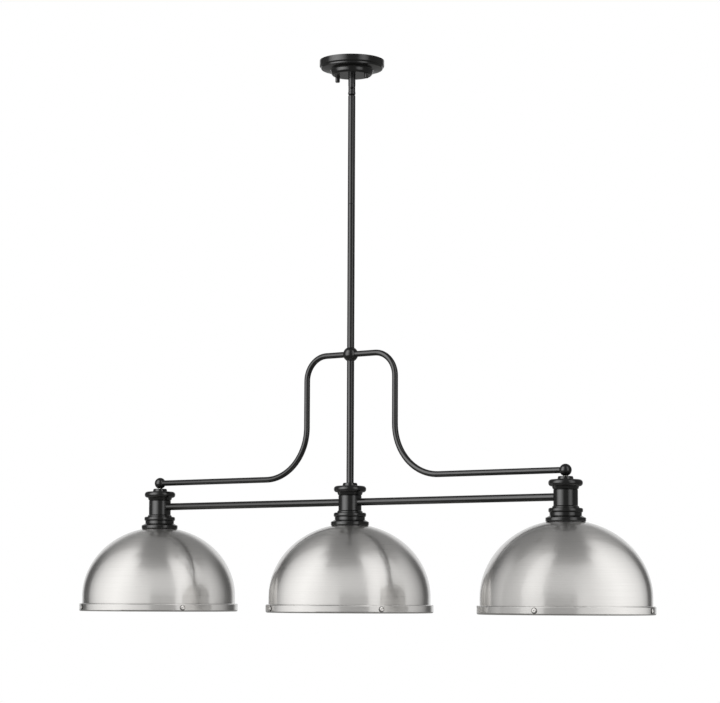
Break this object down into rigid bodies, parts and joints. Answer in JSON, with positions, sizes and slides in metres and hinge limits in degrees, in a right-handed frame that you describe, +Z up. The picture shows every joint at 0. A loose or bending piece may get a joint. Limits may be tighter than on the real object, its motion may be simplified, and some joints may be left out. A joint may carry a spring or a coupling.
{
  "type": "billiard light",
  "caption": "Ceiling-hung billiard light: stepped canopy, swivel down rod, ball hub with bent arms, straight crossbar, turned necks and dome shades in a row over a table.",
  "frame": {"origin": "centre of the outlet-box screw holes, on the ceiling plane", "axes": "+Z up into the ceiling, +X along the row of lights towards the end that is nearer in the picture"},
  "size_m": [1.4224, 0.3556, 1.1893],
  "materials": {
    "black_steel": "satin black powder coat",
    "black_casting": "satin black powder coat on a die casting",
    "brushed_nickel": "brushed nickel under clear lacquer",
    "zinc_steel": "zinc plated",
    "ground_green": "green plated",
    "socket_phenolic": "moulded phenolic",
    "bulb_base": "drawn shell",
    "bulb_glass": "frosted"
  },
  "bodies": {
    "ceiling": {"box_strap": "zinc_steel", "strap_eyelet": "zinc_steel"},
    "canopy": {"swivel_bar": "zinc_steel", "canopy_studs": "zinc_steel", "stud_nuts": "zinc_steel", "ground_screw": "ground_green", "canopy": "black_steel", "canopy_nuts": "black_steel", "swivel_yoke": "black_steel", "yoke_washer": "zinc_steel", "yoke_nut": "zinc_steel", "swivel_pin": "black_steel"},
    "frame": {"swivel_tongue": "black_steel", "upper_rod": "black_steel", "lower_rod": "black_steel", "rod_nipple": "zinc_steel", "hub_ball": "black_steel", "center_stem": "black_steel", "arm_left": "black_steel", "arm_right": "black_steel", "end_ball_left": "black_steel", "end_ball_right": "black_steel", "crossbar_left": "black_steel", "crossbar_right": "black_steel", "collar_left": "black_steel", "neck_left": "black_casting", "lamp_nipple_left": "zinc_steel", "socket_left": "socket_phenolic", "shade_ring_left": "zinc_steel", "shade_left": "brushed_nickel", "rim_band_left": "brushed_nickel", "rim_rivets_left": "brushed_nickel", "collar_center": "black_steel", "neck_center": "black_casting", "lamp_nipple_center": "zinc_steel", "socket_center": "socket_phenolic", "shade_ring_center": "zinc_steel", "shade_center": "brushed_nickel", "rim_band_center": "brushed_nickel", "rim_rivets_center": "brushed_nickel", "collar_right": "black_steel", "neck_right": "black_casting", "lamp_nipple_right": "zinc_steel", "socket_right": "socket_phenolic", "shade_ring_right": "zinc_steel", "shade_right": "brushed_nickel", "rim_band_right": "brushed_nickel", "rim_rivets_right": "brushed_nickel"},
    "bulb_left": {"bulb_base_left": "bulb_base", "bulb_glass_left": "bulb_glass"},
    "bulb_center": {"bulb_base_center": "bulb_base", "bulb_glass_center": "bulb_glass"},
    "bulb_right": {"bulb_base_right": "bulb_base", "bulb_glass_right": "bulb_glass"}
  },
  "joints": [
    {"name": "canopy_turn", "type": "hinge", "parent": "ceiling", "child": "canopy", "pos_m": [0, 0, -0.0026], "axis": [0, 0, 1], "range_deg": [-90, 90]},
    {"name": "swivel", "type": "hinge", "parent": "canopy", "child": "frame", "pos_m": [0, 0, -0.061], "axis": [0.5878, -0.809, 0], "range_deg": [-20, 20]},
    {"name": "bulb_turn_left", "type": "hinge", "parent": "frame", "child": "bulb_left", "pos_m": [-0.5334, 0, -1.01325], "axis": [0, 0, -1], "range_deg": [0, 1080]},
    {"name": "bulb_turn_center", "type": "hinge", "parent": "frame", "child": "bulb_center", "pos_m": [0, 0, -1.01325], "axis": [0, 0, -1], "range_deg": [0, 1080]},
    {"name": "bulb_turn_right", "type": "hinge", "parent": "frame", "child": "bulb_right", "pos_m": [0.5334, 0, -1.01325], "axis": [0, 0, -1], "range_deg": [0, 1080]}
  ]
}
